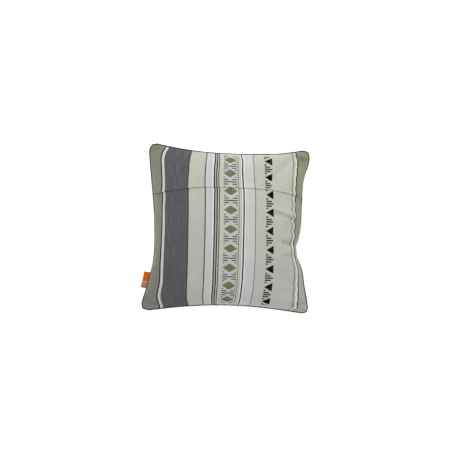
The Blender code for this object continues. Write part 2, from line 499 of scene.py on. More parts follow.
# How far the stripes run off straight, in millimetres to the east: a row for each height on the cloth, from
# south to north, and a column for each place across it
SWAY_HEIGHTS = (-0.220, -0.209, -0.195, -0.150, -0.100, -0.050, 0.0, 0.050, 0.100, 0.150, 0.195, 0.220)
SWAY_PLACES = (-0.178, -0.103, -0.030, 0.0446, 0.115, 0.180)
SWAY = (
    (7.5, 9.0, 2.0, -8.0, -7.5, 2.0),
    (3.0, 6.5, 1.5, -6.0, -6.5, 15.5),
    (-2.5, 4.0, 1.0, -4.0, -5.5, 17.5),
    (0.5, 1.5, 2.0, 0.0, 0.5, 22.0),
    (1.5, 1.5, 1.5, 1.0, 2.5, 24.0),
    (2.5, 1.0, 1.0, 0.5, 3.0, 6.5),
    (2.0, 0.0, 0.5, 0.0, -0.5, 3.5),
    (-1.0, -1.0, -1.0, -1.5, -1.0, 6.0),
    (-1.3, -3.5, -2.5, -4.0, -3.0, 3.2),
    (-5.3, -4.3, -4.8, -8.3, -7.8, 6.7),
    (-7.8, -3.3, -4.8, -10.3, -10.3, 9.2),
    (0.7, -0.3, -6.3, -14.3, -10.3, 1.7),
)
UPPER_PANEL_SHIFT = -0.0013

# Waves of the stripes where the cloth is gathered beside the east seam
GATHER_STEP = 0.0285
GATHER_START = 0.0650
GATHER_REACH = 0.0029
GATHER_MIDDLE = 0.035
GATHER_SPAN = 0.055
GATHER_WEST = 0.162
GATHER_BLEND = 0.003

# Lap of the upper back panel: its height on the cloth, how it droops to both sides, and its hem
LAP_HEIGHT = 0.1122
LAP_DROOP = 0.0225
LAP_TILT = 0.015
LAP_MIDDLE = 0.006
LAP_REACH = 0.165
LAP_POWER = 4
HEM = 0.030
HEM_STITCH = HEM - 0.0025
HEM_STEP = 0.0008
PANEL_THICKNESS = 0.0010
HEM_THICKNESS = 0.0023
PANEL_GAP = 0.0003
PANEL_END = 1 - 0.0012 / (CLOTH / 2)
PANEL_ROWS = 44

# Relief of the upper panel: rounding of its lap and its end, and how far its lap stands off the cover
LAP_ROUND = 0.0007
END_ROUND = 0.010
LIFT = 0.0013
LIFT_UNEVEN = 0.0005
LIFT_PITCH = 0.07
LIFT_REACH = 0.009
LIFT_FROM_SEAM = 0.020

# The stitched groove in the hem, the puckers beside it, and the ribs near the hem's two ends
GROOVE_DEPTH = 0.0009
GROOVE_WIDTH = 0.0013
PUCKER_HEIGHT = 0.0005
PUCKER_OFFSET = 0.008
PUCKER_WIDTH = 0.014
PUCKER_PITCH = 0.009
RIB_HEIGHT = 0.00035
RIB_STEP = 0.0074
RIBS_FROM_SEAM = 0.060
RIBS_FADE = 0.030


def srgb(colour):
    """Linear colour of an 8-bit screen colour."""
    parts = [part / 255 for part in colour]
    return tuple(part / 12.92 if part <= 0.04045 else ((part + 0.055) / 1.055) ** 2.4 for part in parts)


def smooth_interp(value, knots, heights):
    """Smooth curve through heights at uneven knots, level beyond them."""
    knots, heights = np.asarray(knots), np.asarray(heights)
    slopes = np.gradient(heights, knots)
    i = np.clip(np.searchsorted(knots, value) - 1, 0, len(knots) - 2)
    gap = knots[i + 1] - knots[i]
    f = np.clip((value - knots[i]) / gap, 0, 1)
    ends = heights[i] * (1 + 2 * f) * (1 - f) ** 2 + heights[i + 1] * f ** 2 * (3 - 2 * f)
    return ends + gap * (slopes[i] * f * (1 - f) ** 2 - slopes[i + 1] * f ** 2 * (1 - f))


def sway(x, y):
    """How far east the stripes that belong at x have moved, at a height y on the cloth."""
    columns = np.stack([smooth_interp(y, SWAY_HEIGHTS, column) for column in zip(*SWAY)]) / 1000
    place = np.interp(x, SWAY_PLACES, np.arange(len(SWAY_PLACES)))
    i = np.minimum(place.astype(int), len(SWAY_PLACES) - 2)
    west = np.take_along_axis(columns, i[None], 0)[0]
    east = np.take_along_axis(columns, i[None] + 1, 0)[0]
    beside_seam = 1 / (1 + np.exp((GATHER_WEST - x) / GATHER_BLEND))
    reach = GATHER_REACH * (0.25 + 0.75 * bell(y - GATHER_MIDDLE, GATHER_SPAN))
    gathered = reach * np.sin(2 * math.pi * (y - GATHER_START) / GATHER_STEP)
    return west + (east - west) * (place - i) + gathered * beside_seam


def cloth_place(x, y, shift=0.0):
    """Place s, t on the cover of what belongs at x, y in the pattern."""
    return (x + shift + sway(x, y)) / (CLOTH / 2), y / (CLOTH / 2)


def pattern_place(s, t, shift=0.0):
    """Place x, y in the pattern of what lies at s, t on the cover."""
    x = s * CLOTH / 2
    y = t * CLOTH / 2
    belongs = x - shift - sway(x, y)
    return x - shift - sway(belongs, y), y


def lap_place(s):
    """t of the lap at places across the cover."""
    x = s * CLOTH / 2
    droop = LAP_DROOP * (1 - np.exp(-np.abs((x - LAP_MIDDLE) / LAP_REACH) ** LAP_POWER))
    return (LAP_HEIGHT + LAP_TILT * x - droop) / (CLOTH / 2)


def panel_lift(x, to_lap, to_seam):
    """How far the upper panel stands off the cover by itself, most at its lap and away from the seam."""
    off_seam = 1 - fading(to_seam, LIFT_FROM_SEAM)
    lift = LIFT + LIFT_UNEVEN * ripple(x, 0 * x, LIFT_PITCH, 5)
    return lift * fading(to_lap, LIFT_REACH) * off_seam


def panel_height(point, to_lap, to_seam):
    """Height of the upper panel's outer side over the cover, by its distances from the lap and the seam."""
    hem = (HEM_THICKNESS - PANEL_THICKNESS) / (1 + np.exp((to_lap - HEM) / HEM_STEP))
    groove = GROOVE_DEPTH * bell(to_lap - HEM_STITCH, GROOVE_WIDTH)
    rounded = 0.35 + 0.65 * (1 - fading(to_lap, LAP_ROUND))
    off_seam = 1 - fading(to_seam, END_ROUND)
    puckers = PUCKER_HEIGHT * bell(to_lap - HEM_STITCH + PUCKER_OFFSET, PUCKER_WIDTH)
    ruffle = puckers * ripple(point[..., 0], point[..., 1] * 0.25, PUCKER_PITCH, 6)
    in_hem = np.exp(-((to_lap - HEM / 2) / (HEM / 2)) ** 4)
    near_end = fading(to_seam - RIBS_FROM_SEAM, RIBS_FADE) * in_hem
    ribs = RIB_HEIGHT * np.sin(2 * math.pi * to_lap / RIB_STEP) * near_end * off_seam
    thickness = (PANEL_THICKNESS + hem) * rounded * off_seam
    lift = panel_lift(point[..., 0], to_lap, to_seam)
    return PANEL_GAP + thickness - groove * off_seam + ruffle + ribs + lift


def panel_end_distance(s, t):
    """Distance on the cloth from the upper panel's nearest end at the seam."""
    return np.minimum(PANEL_END - np.abs(s), PANEL_END - t) * CLOTH / 2


def face_point(s, t, height):
    """Points at a height over the visible face, which is the upper panel's past its lap, and normals."""
    base = sample(TOP, s, t)
    up = normals(TOP, s, t)
    to_lap = (t - lap_place(s)) * CLOTH / 2
    rise = np.where(to_lap > 0, panel_height(base, to_lap, panel_end_distance(s, t)), 0)
    return base + up * (rise + height)[..., None], up


def new_piece(name, mesh, material):
    piece = new_object(name, mesh)
    mesh.materials.append(material)
    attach(piece, "root")
    return piece


def add_uv(mesh, name, coordinates):
    """A UV map from one coordinate pair for each face corner."""
    layer = mesh.uv_layers.new(name=name)
    layer.data.foreach_set("uv", np.asarray(coordinates, np.float32).ravel())


def add_wear(mesh, values):
    """How rubbed the cloth is at each vertex, from 0 to 1, for its material."""
    layer = mesh.attributes.new("Wear", "FLOAT", "POINT")
    layer.data.foreach_set("value", np.asarray(values, np.float32))


def corner_vertices(mesh):
    numbers = np.zeros(len(mesh.loops), np.int32)
    mesh.loops.foreach_get("vertex_index", numbers)
    return numbers


def cloth_steps(cells):
    """Places from seam to seam, finer beside the seams."""
    even = np.linspace(-1, 1, cells + 1)
    beside = even[0] + (even[1] - even[0]) * (np.linspace(0, 1, SEAM_CELLS + 1) ** 1.5)
    return np.concatenate([beside[:-1], even[1:-1], -beside[:-1][::-1]])


def pattern_fraction(x, y):
    """Pattern place as a UV pair from 0 to 1 across the cloth."""
    return np.stack([x / CLOTH + 0.5, y / CLOTH + 0.5], -1)


# How far from an edge the cloth is rubbed
SEAM_WEAR = 0.004
LAP_WEAR = 0.0015

# The cover's baking layout: the upper face above the underside, which needs less room
FACE_LOW, FACE_BEND, FACE_HIGH = 0.22, 0.96, 0.995
FACE_BEND_PLACE = 0.60
UNDER_LOW, UNDER_HIGH = 0.005, 0.205


def add_cover_maps(mesh, s, t):
    """The cover's UV maps: the pattern above and plain cloth below, and the layout for baking."""
    quads = grid_quads(np.arange(s.size).reshape(s.shape))
    corners = np.concatenate([quads.ravel(), quads[:, ::-1].ravel()])
    above = np.arange(len(corners)) < quads.size
    x, y = pattern_place(s, t)
    cloth = pattern_fraction(x, y).reshape(-1, 2)[corners]
    under = np.stack([s / 2 + 0.5, t / 2 + 0.5], -1).reshape(-1, 2)[corners]
    add_uv(mesh, "Cloth", np.where(above[:, None], cloth, under))
    wide = s.ravel()[corners] * 0.495 + 0.5
    face_height = np.interp(t, (-1, FACE_BEND_PLACE, 1), (FACE_LOW, FACE_BEND, FACE_HIGH)).ravel()[corners]
    under_height = np.interp(t, (-1, 1), (UNDER_LOW, UNDER_HIGH)).ravel()[corners]
    add_uv(mesh, "OFBake", np.stack([wide, np.where(above, face_height, under_height)], -1))


def make_cover(striped, plain):
    """The filled cover: lower back panel above, front panel below, in one closed skin."""
    k = cloth_steps(COVER_CELLS)
    s, t = np.meshgrid(k, k)
    upper, lower, total = two_sided_grid(len(k))
    points = np.zeros((total, 3))
    points[lower] = sample(BOTTOM, s, t)
    points[upper] = sample(TOP, s, t)
    upper_faces = grid_quads(upper)
    lower_faces = grid_quads(lower)[:, ::-1]
    mesh = new_mesh("cushion_cover", points, np.vstack([upper_faces, lower_faces]))
    add_cover_maps(mesh, s, t)
    wear = np.zeros(total)
    wear[lower] = fading(seam_distance(s, t), SEAM_WEAR)
    wear[upper] = wear[lower]
    add_wear(mesh, wear)

    cover = new_piece("cushion_cover", mesh, striped)
    mesh.materials.append(plain)
    slots = np.zeros(len(mesh.polygons), np.int32)
    slots[len(upper_faces):] = 1
    mesh.polygons.foreach_set("material_index", slots)
    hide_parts("cushion")


def sheet_faces(rows, columns):
    """Faces of a thin sheet: an outer grid of vertices, then an inner one, and walls round their rims."""
    outer = np.arange(rows * columns).reshape(rows, columns)
    rim = np.concatenate([outer[0, :-1], outer[:-1, -1], outer[-1, :0:-1], outer[:0:-1, 0]])
    following = np.roll(rim, -1)
    walls = np.stack([rim + outer.size, following + outer.size, following, rim], -1)
    return np.vstack([grid_quads(outer), grid_quads(outer + outer.size)[:, ::-1], walls])


def panel_rows(lengths):
    """Distances of the panel's rows from its lap, closer at the lap and beside the hem's stitches."""
    edge_end = 0.003
    stitch_start = HEM - 0.007
    stitch_end = HEM + 0.004
    beside_lap = edge_end * np.linspace(0, 1, 7) ** 1.6
    in_hem = np.linspace(edge_end, stitch_start, 9)[1:-1]
    beside_stitch = np.linspace(stitch_start, stitch_end, 14)
    rows = [np.full(lengths.shape, row) for row in np.concatenate([beside_lap, in_hem, beside_stitch])]
    rows += [rows[-1] + (lengths - rows[-1]) * share for share in np.linspace(0, 1, PANEL_ROWS)[1:]]
    return np.array(rows)


def make_upper_panel(striped):
    """The upper back panel: a hemmed sheet over the cover, from its lap to the seam on three sides."""
    across = cloth_steps(COVER_CELLS)
    across = np.concatenate([[-PANEL_END], across[np.abs(across) < PANEL_END], [PANEL_END]])
    lap = lap_place(across)
    lengths = (PANEL_END - lap) * CLOTH / 2
    to_lap = panel_rows(lengths)
    s = np.broadcast_to(across, to_lap.shape)
    t = lap + to_lap / (CLOTH / 2)
    to_seam = panel_end_distance(s, t)

    base = sample(TOP, s, t)
    up = normals(TOP, s, t)
    inner = base + up * (PANEL_GAP * 0.5 + panel_lift(base[..., 0], to_lap, to_seam))[..., None]
    outer = base + up * panel_height(base, to_lap, to_seam)[..., None]

    points = np.vstack([outer.reshape(-1, 3), inner.reshape(-1, 3)])
    mesh = new_mesh("upper_back_panel", points, sheet_faces(*s.shape))

    x, y = pattern_place(s, t, UPPER_PANEL_SHIFT)
    numbers = corner_vertices(mesh)
    is_inner = numbers >= s.size
    numbers = numbers % s.size
    add_uv(mesh, "Cloth", pattern_fraction(x, y).reshape(-1, 2)[numbers])
    wide = (s.ravel() * 0.495 + 0.5)[numbers]
    tall = ((t - t.min()) / (t.max() - t.min())).ravel()[numbers]
    height = np.where(is_inner, 0.90 + 0.09 * tall, 0.01 + 0.87 * tall)
    add_uv(mesh, "OFBake", np.stack([wide, height], -1))
    wear = fading(to_lap, LAP_WEAR) + 0.6 * fading(to_seam, SEAM_WEAR)
    add_wear(mesh, np.concatenate([wear.ravel(), wear.ravel()]))
    panel = new_piece("upper_back_panel", mesh, striped)
    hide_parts("flap")


# Threads laid on the cloth: pitch of neighbouring threads, size of one, how much of it is left at its ends,
# how deep it sinks in, spacing of its rings, and length of a float
THREAD_PITCH = 0.00092
THREAD_HALF_WIDTH = 0.00050
THREAD_HEIGHT = 0.00042
END_WIDTH = 0.55
END_HEIGHT = 0.35
THREAD_SUNK = 0.00012
THREAD_STEP = 0.0012
FLOAT_LENGTH = 0.0042
RING_SIDES = 4

# Diamond column: middle of the column, sizes, and heights of the diamonds on the cloth, south to north
DIAMOND_X = 0.0103
DIAMOND_HALF_WIDTH = 0.0185
DIAMOND_HALF_HEIGHT = 0.0118
DIAMOND_STEP = 2
DIAMOND_HEIGHTS = (-0.1938, -0.1506, -0.1019, -0.0497, 0.0015, 0.0525, 0.1034, 0.1514, 0.1930)

# Marks between two motifs: distance from their middle in pitches, start and end from the column's middle
Mark = namedtuple("Mark", "row start end")
MARK_PITCH = 0.0062
DIAMOND_MARK_THREADS = 3
TRIANGLE_MARK_THREADS = 4
MARK_END = 0.0186
DIAMOND_MARKS = [Mark(0, -MARK_END, MARK_END)]
for row, inner in ((1, 0.0053), (-1, 0.0053), (2, 0.0138), (-2, 0.0138)):
    DIAMOND_MARKS += [Mark(row, -MARK_END, -inner), Mark(row, inner, MARK_END)]

# Triangle column: point to the west, base to the east
TRIANGLE_X = 0.1146
TRIANGLE_HALF_WIDTH = 0.0098
TRIANGLE_HALF_HEIGHT = 0.0122
TRIANGLE_HEIGHTS = (-0.1947, -0.1517, -0.1019, -0.0501, 0.0, 0.0494, 0.0968, 0.1463, 0.1923)
TRIANGLE_MARKS = (
    Mark(0, -0.0098, 0.0092),
    Mark(1, -0.0098, 0.0050),
    Mark(-1, -0.0098, 0.0050),
    Mark(2, -0.0098, -0.0040),
    Mark(-2, -0.0098, -0.0040),
)
COLUMN_END = 0.211

# A thread's run: from start to end, beside a line of the pattern
Run = namedtuple("Run", "start end beside")


def diamond_runs(y):
    """Rows of thread that fill a diamond, stepped as woven motifs are."""
    rows = int(DIAMOND_HALF_HEIGHT / THREAD_PITCH)
    for row in range(-rows, rows + 1):
        stepped = abs(row) // DIAMOND_STEP * DIAMOND_STEP
        half = DIAMOND_HALF_WIDTH * (1 - stepped * THREAD_PITCH / DIAMOND_HALF_HEIGHT)
        if half > THREAD_STEP:
            yield Run(DIAMOND_X - half, DIAMOND_X + half, y + row * THREAD_PITCH)


def triangle_runs(y):
    """Rows of thread that fill a triangle which points west."""
    rows = int(TRIANGLE_HALF_HEIGHT / THREAD_PITCH)
    for row in range(-rows, rows + 1):
        width = 2 * TRIANGLE_HALF_WIDTH * (1 - abs(row) * THREAD_PITCH / TRIANGLE_HALF_HEIGHT)
        if width > THREAD_STEP:
            end = TRIANGLE_X + TRIANGLE_HALF_WIDTH
            yield Run(end - width, end, y + row * THREAD_PITCH)


def mark_runs(heights, marks, middle_x, threads):
    """Rows of thread for the dots, dashes and bars between motifs, and beyond the first and the last."""
    first = 2 * heights[0] - heights[1]
    last = 2 * heights[-1] - heights[-2]
    ends = (first, *heights, last)
    for low, high in zip(ends[:-1], ends[1:]):
        for mark in marks:
            middle = (low + high) / 2 + mark.row * MARK_PITCH
            for thread in range(threads):
                y = middle + (thread - (threads - 1) / 2) * THREAD_PITCH
                if abs(y) < COLUMN_END:
                    yield Run(middle_x + mark.start, middle_x + mark.end, y)


def thread_rings(runs):
    """Rings of all threads: along, beside, part of the run, floats so far, and whether one more follows."""
    rings = []
    for number, run in enumerate(runs):
        length = run.end - run.start
        part = np.linspace(0, 1, max(3, round(length / THREAD_STEP) + 1))
        floats = part * length / FLOAT_LENGTH + 0.5 * (number % 2)
        rings.append([run.start + part * length, run.beside + 0 * part, part, floats, part < 1])
    return np.concatenate([np.array(ring) for ring in rings], axis=1)


def thread_frames(x, y, off_x, off_y):
    """Points on the visible face at pattern places, its normals, and directions to places off them."""
    on_panel = y / (CLOTH / 2) > lap_place(x / (CLOTH / 2))
    s, t = cloth_place(x, y, np.where(on_panel, UPPER_PANEL_SHIFT, 0.0))
    centre, up = face_point(s, t, 0 * s)
    beyond, _ = face_point(s + off_x / (CLOTH / 2), t + off_y / (CLOTH / 2), 0 * s)
    side = beyond - centre
    side -= up * (side * up).sum(-1, keepdims=True)
    return centre, up, side / np.linalg.norm(side, axis=-1, keepdims=True)


def lay_threads(name, runs, material, vertical=False, half_width=THREAD_HALF_WIDTH, height=THREAD_HEIGHT):
    """Threads on the visible face. Runs go east at one height of the pattern, or north if vertical."""
    along, beside, part, floats, followed = thread_rings(runs)
    x, y = (beside, along) if vertical else (along, beside)
    step = 0.001
    centre, up, side = thread_frames(x, y, step * vertical, step * (not vertical))

    at_end = (part == 0) | (part == 1)
    width = half_width * np.where(at_end, END_WIDTH, 1.0)
    tall = height * (0.70 + 0.30 * np.abs(np.sin(math.pi * floats))) * np.where(at_end, END_HEIGHT, 1.0)
    angles = np.linspace(0, math.pi, RING_SIDES + 1)
    across = np.cos(angles)[:, None] * (side * width[:, None])[:, None]
    rise = (np.sin(angles) * tall[:, None] - THREAD_SUNK)[..., None] * up[:, None]
    points = (centre[:, None] + across + rise).reshape(-1, 3)

    first = np.flatnonzero(followed)[:, None] * len(angles) + np.arange(RING_SIDES)
    corners = (first, first + 1, first + len(angles) + 1, first + len(angles))
    faces = np.stack(corners[::-1] if vertical else corners, -1).reshape(-1, 4)
    mesh = new_mesh(name, points, faces)

    spread = np.cos(angles) * half_width
    u = (x[:, None] + spread * vertical).ravel()
    v = (y[:, None] + spread * (not vertical)).ravel()
    numbers = corner_vertices(mesh)
    plan = np.stack([(u - u.min()) / (u.max() - u.min()), (v - v.min()) / (v.max() - v.min())], -1)
    add_uv(mesh, "OFBake", (0.005 + 0.99 * plan)[numbers])
    add_uv(mesh, "Cloth", pattern_fraction(u, v)[numbers])
    new_piece(name, mesh, material)


# Lines of stitches, along the hem and beside the diamond column
Stitch = namedtuple("Stitch", "length gap half_width height")
HEM_STITCHES = Stitch(0.0023, 0.0010, 0.00038, 0.00035)
HEM_STITCHES_END = 0.006
GROUND_STITCHES = Stitch(0.0036, 0.0009, 0.0012, 0.00055)
GROUND_STITCHES_X = 0.0326


def make_hem_stitches(material):
    """Stitches along the hem, a little above its lap."""
    stitch = HEM_STITCHES
    pitch = stitch.length + stitch.gap
    half = PANEL_END * CLOTH / 2 - HEM_STITCHES_END
    runs = []
    for number in range(int(2 * half / pitch)):
        start = -half + number * pitch
        lap = lap_place(start / (CLOTH / 2)) * CLOTH / 2
        runs.append(Run(start, start + stitch.length, float(lap) + HEM_STITCH))
    lay_threads("hem_stitches", runs, material, half_width=stitch.half_width, height=stitch.height)


def make_ground_stitches(material):
    """Running stitches beside the diamonds."""
    stitch = GROUND_STITCHES
    starts = np.arange(-COLUMN_END, COLUMN_END - stitch.length, stitch.length + stitch.gap)
    runs = [Run(start, start + stitch.length, GROUND_STITCHES_X) for start in starts]
    lay_threads("ground_stitches", runs, material, True, stitch.half_width, stitch.height)


# Rolled edge where the cover's two sides meet, in a dark colour that is painted shade
EDGE_RADIUS = 0.0015
EDGE_OUT = 0.0004
EDGE_UNEVEN = 0.14
EDGE_PITCH = 0.006
EDGE_CELLS = 200
EDGE_SIDES = 10
EDGE_ROWS = 8


def rim_points(cells):
    """Points round the cover's rim, from its south-west corner, with the south side first."""
    k = np.linspace(-1, 1, cells + 1)[:-1]
    one = np.ones(cells)
    s = np.concatenate([k, one, -k, -one])
    t = np.concatenate([-one, k, one, -k])
    return sample(TOP, s, t)


def make_seam_edge(material):
    """The seam's rolled edge, slightly puckered by its stitches, in dark cloth that paints the shade at the
    rim.
    """
    rim = rim_points(EDGE_CELLS)
    count = len(rim)
    ahead = np.roll(rim, -2, 0) - np.roll(rim, 2, 0)
    ahead /= np.linalg.norm(ahead, axis=1, keepdims=True)
    out = np.cross(ahead, (0, 0, 1))
    out /= np.linalg.norm(out, axis=1, keepdims=True)
    up = np.cross(out, ahead)
    radius = EDGE_RADIUS * (1 + EDGE_UNEVEN * ripple(rim[:, 0], rim[:, 1], EDGE_PITCH, 8))
    angles = np.linspace(0, 2 * math.pi, EDGE_SIDES, endpoint=False)
    around = np.cos(angles)[None, :, None] * out[:, None] + np.sin(angles)[None, :, None] * up[:, None]
    points = (rim + out * EDGE_OUT)[:, None] + around * radius[:, None, None]

    ring, side = np.meshgrid(np.arange(count), np.arange(EDGE_SIDES), indexing="ij")
    rings = np.stack([ring, ring, ring + 1, ring + 1], -1).reshape(-1, 4)
    sides = np.stack([side, side + 1, side + 1, side], -1).reshape(-1, 4)
    faces = rings % count * EDGE_SIDES + sides % EDGE_SIDES
    mesh = new_mesh("seam_edge", points.reshape(-1, 3), faces)

    # The baking layout lays the edge out in rows, one above the other
    row = rings[:, :1] * EDGE_ROWS // count
    along = rings / count * EDGE_ROWS - row
    turn = sides / EDGE_SIDES
    add_uv(mesh, "OFBake", np.stack([0.01 + 0.98 * along, (row + 0.05 + 0.90 * turn) / EDGE_ROWS], -1))
    add_uv(mesh, "Cloth", np.stack([rings / count * 4, turn * 0.02], -1))
    new_piece("seam_edge", mesh, material)


# Folded tape in the west seam: its ends along the side from the north corner, the way it points, its reach
# and how much of that its south end keeps, its part in the seam, and its leaves, fold, droop and curl
LABEL_START = 0.7690
LABEL_END = 0.8630
LABEL_OUT = np.array((-0.989, 0.148, 0.0))
LABEL_REACH = 0.0184
LABEL_TAPER = 0.87
LABEL_ROOT = 0.0025
LEAF = 0.00045
FOLD_RADIUS = 0.0005
LABEL_DROOP = 0.0030
LABEL_CURL = 0.0008
LABEL_CELLS = 28
LEAF_POINTS = 16


def label_profile():
    """Middle line of the folded tape, how far out and how high it is, and its outward normals."""
    bend = LABEL_REACH - FOLD_RADIUS
    out = np.linspace(-LABEL_ROOT, bend, LEAF_POINTS)
    turn = np.linspace(math.pi / 2, -math.pi / 2, 9)[1:-1]
    level = np.ones(LEAF_POINTS)
    normal_reach = np.concatenate([0 * level, np.cos(turn), 0 * level])
    normal_height = np.concatenate([level, np.sin(turn), -level])
    reach = np.concatenate([out, bend + FOLD_RADIUS * np.cos(turn), out[::-1]])
    return reach, FOLD_RADIUS * normal_height, normal_reach, normal_height


def label_side(foot, f, side):
    """Points of the tape's outer side for 1 or inner side for -1, a row for each place f on the seam."""
    reach, height, normal_reach, normal_height = label_profile()
    r = reach + side * LEAF / 2 * normal_reach
    h = height + side * LEAF / 2 * normal_height
    curl = LABEL_CURL * np.sin(math.pi * (f - LABEL_START) / (LABEL_END - LABEL_START))
    share = np.clip(r / LABEL_REACH, 0, 1)
    z = h[None] - LABEL_DROOP * share[None] ** 2 + curl[:, None] * share[None]
    taper = np.linspace(1, LABEL_TAPER, len(f))[:, None]
    level = foot[:, None] + LABEL_OUT * (r[None] * taper)[..., None]
    return level + np.array((0, 0, 1)) * z[..., None]


def make_label(material):
    """Side label: a short tape folded in two, sewn into the seam by both its ends."""
    f = np.linspace(LABEL_START, LABEL_END, LABEL_CELLS + 1)
    foot = sample(TOP, -1.0 + 0 * f, 1 - 2 * f)
    tape = np.stack([label_side(foot, f, side) for side in (1, -1)])
    rows, columns = tape.shape[1:3]
    mesh = new_mesh("side_label", tape.reshape(-1, 3), sheet_faces(rows, columns))
    number = corner_vertices(mesh)
    is_inner = number >= rows * columns
    row = number % (rows * columns) // columns / (rows - 1)
    column = number % columns / (columns - 1)
    add_uv(mesh, "Tape", np.stack([column, row], -1))
    height = np.where(is_inner, 0.72 + 0.26 * row, 0.02 + 0.66 * row)
    add_uv(mesh, "OFBake", np.stack([0.02 + 0.96 * column, height], -1))
    label = new_piece("side_label", mesh, material)
    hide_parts("label")


class Nodes:
    """Short calls for building one material's node tree."""

    def __init__(self, name):
        self.material = bpy.data.materials.new(name)
        self.material.use_nodes = True
        self.tree = self.material.node_tree
        self.shader = self.tree.nodes["Principled BSDF"]

    def add(self, kind, inputs=(), **settings):
        node = self.tree.nodes.new(kind)
        for key, value in settings.items():
            setattr(node, key, value)
        for key, value in dict(inputs).items():
            self.plug(node.inputs[key], value)
        return node

    def plug(self, socket, value):
        if isinstance(value, bpy.types.NodeSocket):
            self.tree.links.new(value, socket)
        else:
            socket.default_value = value

    def math(self, operation, *values):
        return self.add("ShaderNodeMath", enumerate(values), operation=operation).outputs[0]

    def plus(self, first, second):
        return self.math("ADD", first, second)

    def times(self, first, second):
        return self.math("MULTIPLY", first, second)

    def parts(self, vector):
        return self.add("ShaderNodeSeparateXYZ", {0: vector}).outputs

    def scaled(self, vector, x, y, z=1.0):
        node = self.add("ShaderNodeVectorMath", {0: vector, 1: (x, y, z)}, operation="MULTIPLY")
        return node.outputs[0]

    def noise(self, vector, detail=2.0):
        """Smooth noise around zero, about -1 to 1, one bump to each unit of the vector."""
        node = self.add("ShaderNodeTexNoise", {"Vector": vector, "Scale": 1.0, "Detail": detail})
        return self.times(self.math("SUBTRACT", node.outputs[0], 0.5), 3.0)

    def uneven(self, place, wide, tall, detail=2.0):
        """Noise over a place in metres, with bumps that are this wide and tall."""
        return self.noise(self.scaled(place, 1 / wide, 1 / tall), detail)

    def between(self, value, start, end):
        """0 where a value is at its start, 1 where it is at its end, and held beyond them."""
        return self.add("ShaderNodeMapRange", {0: value, 1: start, 2: end, 3: 0.0, 4: 1.0}).outputs[0]

    def flat(self, colour):
        output = self.add("ShaderNodeRGB").outputs[0]
        output.default_value = (*srgb(colour), 1)
        return output

    def bands(self, value, stops):
        """Colour and alpha of the last stop that a value has passed: stops are (start, colour, alpha)."""
        ramp = self.add("ShaderNodeValToRGB", {0: value})
        ramp.color_ramp.interpolation = "CONSTANT"
        elements = ramp.color_ramp.elements
        while len(elements) < len(stops):
            elements.new(0.5)
        for element, (start, colour, alpha) in zip(elements, stops):
            element.position = start
            element.color = (*srgb(colour), alpha)
        return ramp.outputs["Color"], ramp.outputs["Alpha"]

    def tinted(self, colour, factor):
        node = self.add("ShaderNodeVectorMath", {0: colour, "Scale": factor}, operation="SCALE")
        return node.outputs[0]

    def bump(self, height, distance, strength=1.0):
        node = self.add("ShaderNodeBump", {"Height": height, "Distance": distance, "Strength": strength})
        self.plug(self.shader.inputs["Normal"], node.outputs[0])

    def finish(self, colour, roughness, sheen, specular):
        self.plug(self.shader.inputs["Base Color"], colour)
        self.plug(self.shader.inputs["Roughness"], roughness)
        self.shader.inputs["Sheen Weight"].default_value = sheen
        self.shader.inputs["Specular IOR Level"].default_value = specular
        return self.material


# Weave of the cloth: pitch of its yarns, width and length of their thick places, depth and gloss
WEAVE_PITCH = 0.0015
SLUB_WIDTH = 0.0016
SLUB_LENGTH = 0.022
WEAVE_DEPTH = 0.00016
CLOTH_SHEEN = 0.15
CLOTH_SPECULAR = 0.25

# Fading toward the south: where on the cloth it starts and is full, and the share of the colour it takes
Fade = namedtuple("Fade", "start full loss")
CLOTH_FADE = Fade(0.70, 0.05, 0.45)
THREAD_FADE = Fade(0.13, 0.075, 0.80)

# Paler, greyer cloth beside the east seam's lower half: its upper and west edges, lost colour and gained
# brightness
PALE_PATCH_TOP = (0.49, 0.36)
PALE_PATCH_WEST = (0.89, 0.91)
PALE_PATCH_LOSS = 0.30
PALE_PATCH_GAIN = 0.48

# The label's woven bands along the seam, by where each starts and its colour, and how many ribs it has
LABEL_BANDS = ((0.0, (212, 98, 2)), (0.56, (206, 146, 112)), (0.66, (190, 122, 96)), (0.92, (140, 100, 94)))
LABEL_RIBS = 34


def cloth_nodes(name):
    """Nodes of a new material, with the cloth's UV map and the same places in metres."""
    nodes = Nodes(name)
    uv = nodes.add("ShaderNodeUVMap", uv_map="Cloth").outputs[0]
    return nodes, uv, nodes.scaled(uv, CLOTH, CLOTH)


def weave_height(nodes, place):
    """Plain weave with uneven yarns, from a place in metres."""
    x, y, _ = nodes.parts(place)
    turn = 2 * math.pi / WEAVE_PITCH
    over = nodes.math("SINE", nodes.times(x, turn))
    under = nodes.math("SINE", nodes.times(y, turn))
    slub_warp = nodes.uneven(place, SLUB_WIDTH, SLUB_LENGTH)
    slub_weft = nodes.uneven(place, SLUB_LENGTH, SLUB_WIDTH)
    knots = nodes.times(over, under)
    slubs = nodes.plus(slub_warp, slub_weft)
    return nodes.plus(nodes.times(knots, 0.5), nodes.times(slubs, 0.45))


def cloth_colour(nodes, place, colour, fleck):
    """A stripe's colour with yarn streaks, flecks, slow unevenness and rubbed edges."""
    warp = nodes.uneven(place, 0.0022, 0.045, detail=3.0)
    weft = nodes.uneven(place, 0.050, 0.0018)
    slow = nodes.uneven(place, 0.060, 0.060)
    streaks = nodes.times(warp, fleck)
    bars = nodes.times(weft, 0.030)
    patches = nodes.times(slow, 0.035)
    worn = nodes.add("ShaderNodeAttribute", attribute_name="Wear").outputs["Fac"]
    rubbed = nodes.times(worn, 0.10)
    total = nodes.plus(nodes.plus(streaks, bars), nodes.plus(patches, rubbed))
    return nodes.tinted(colour, nodes.plus(total, 1.0))


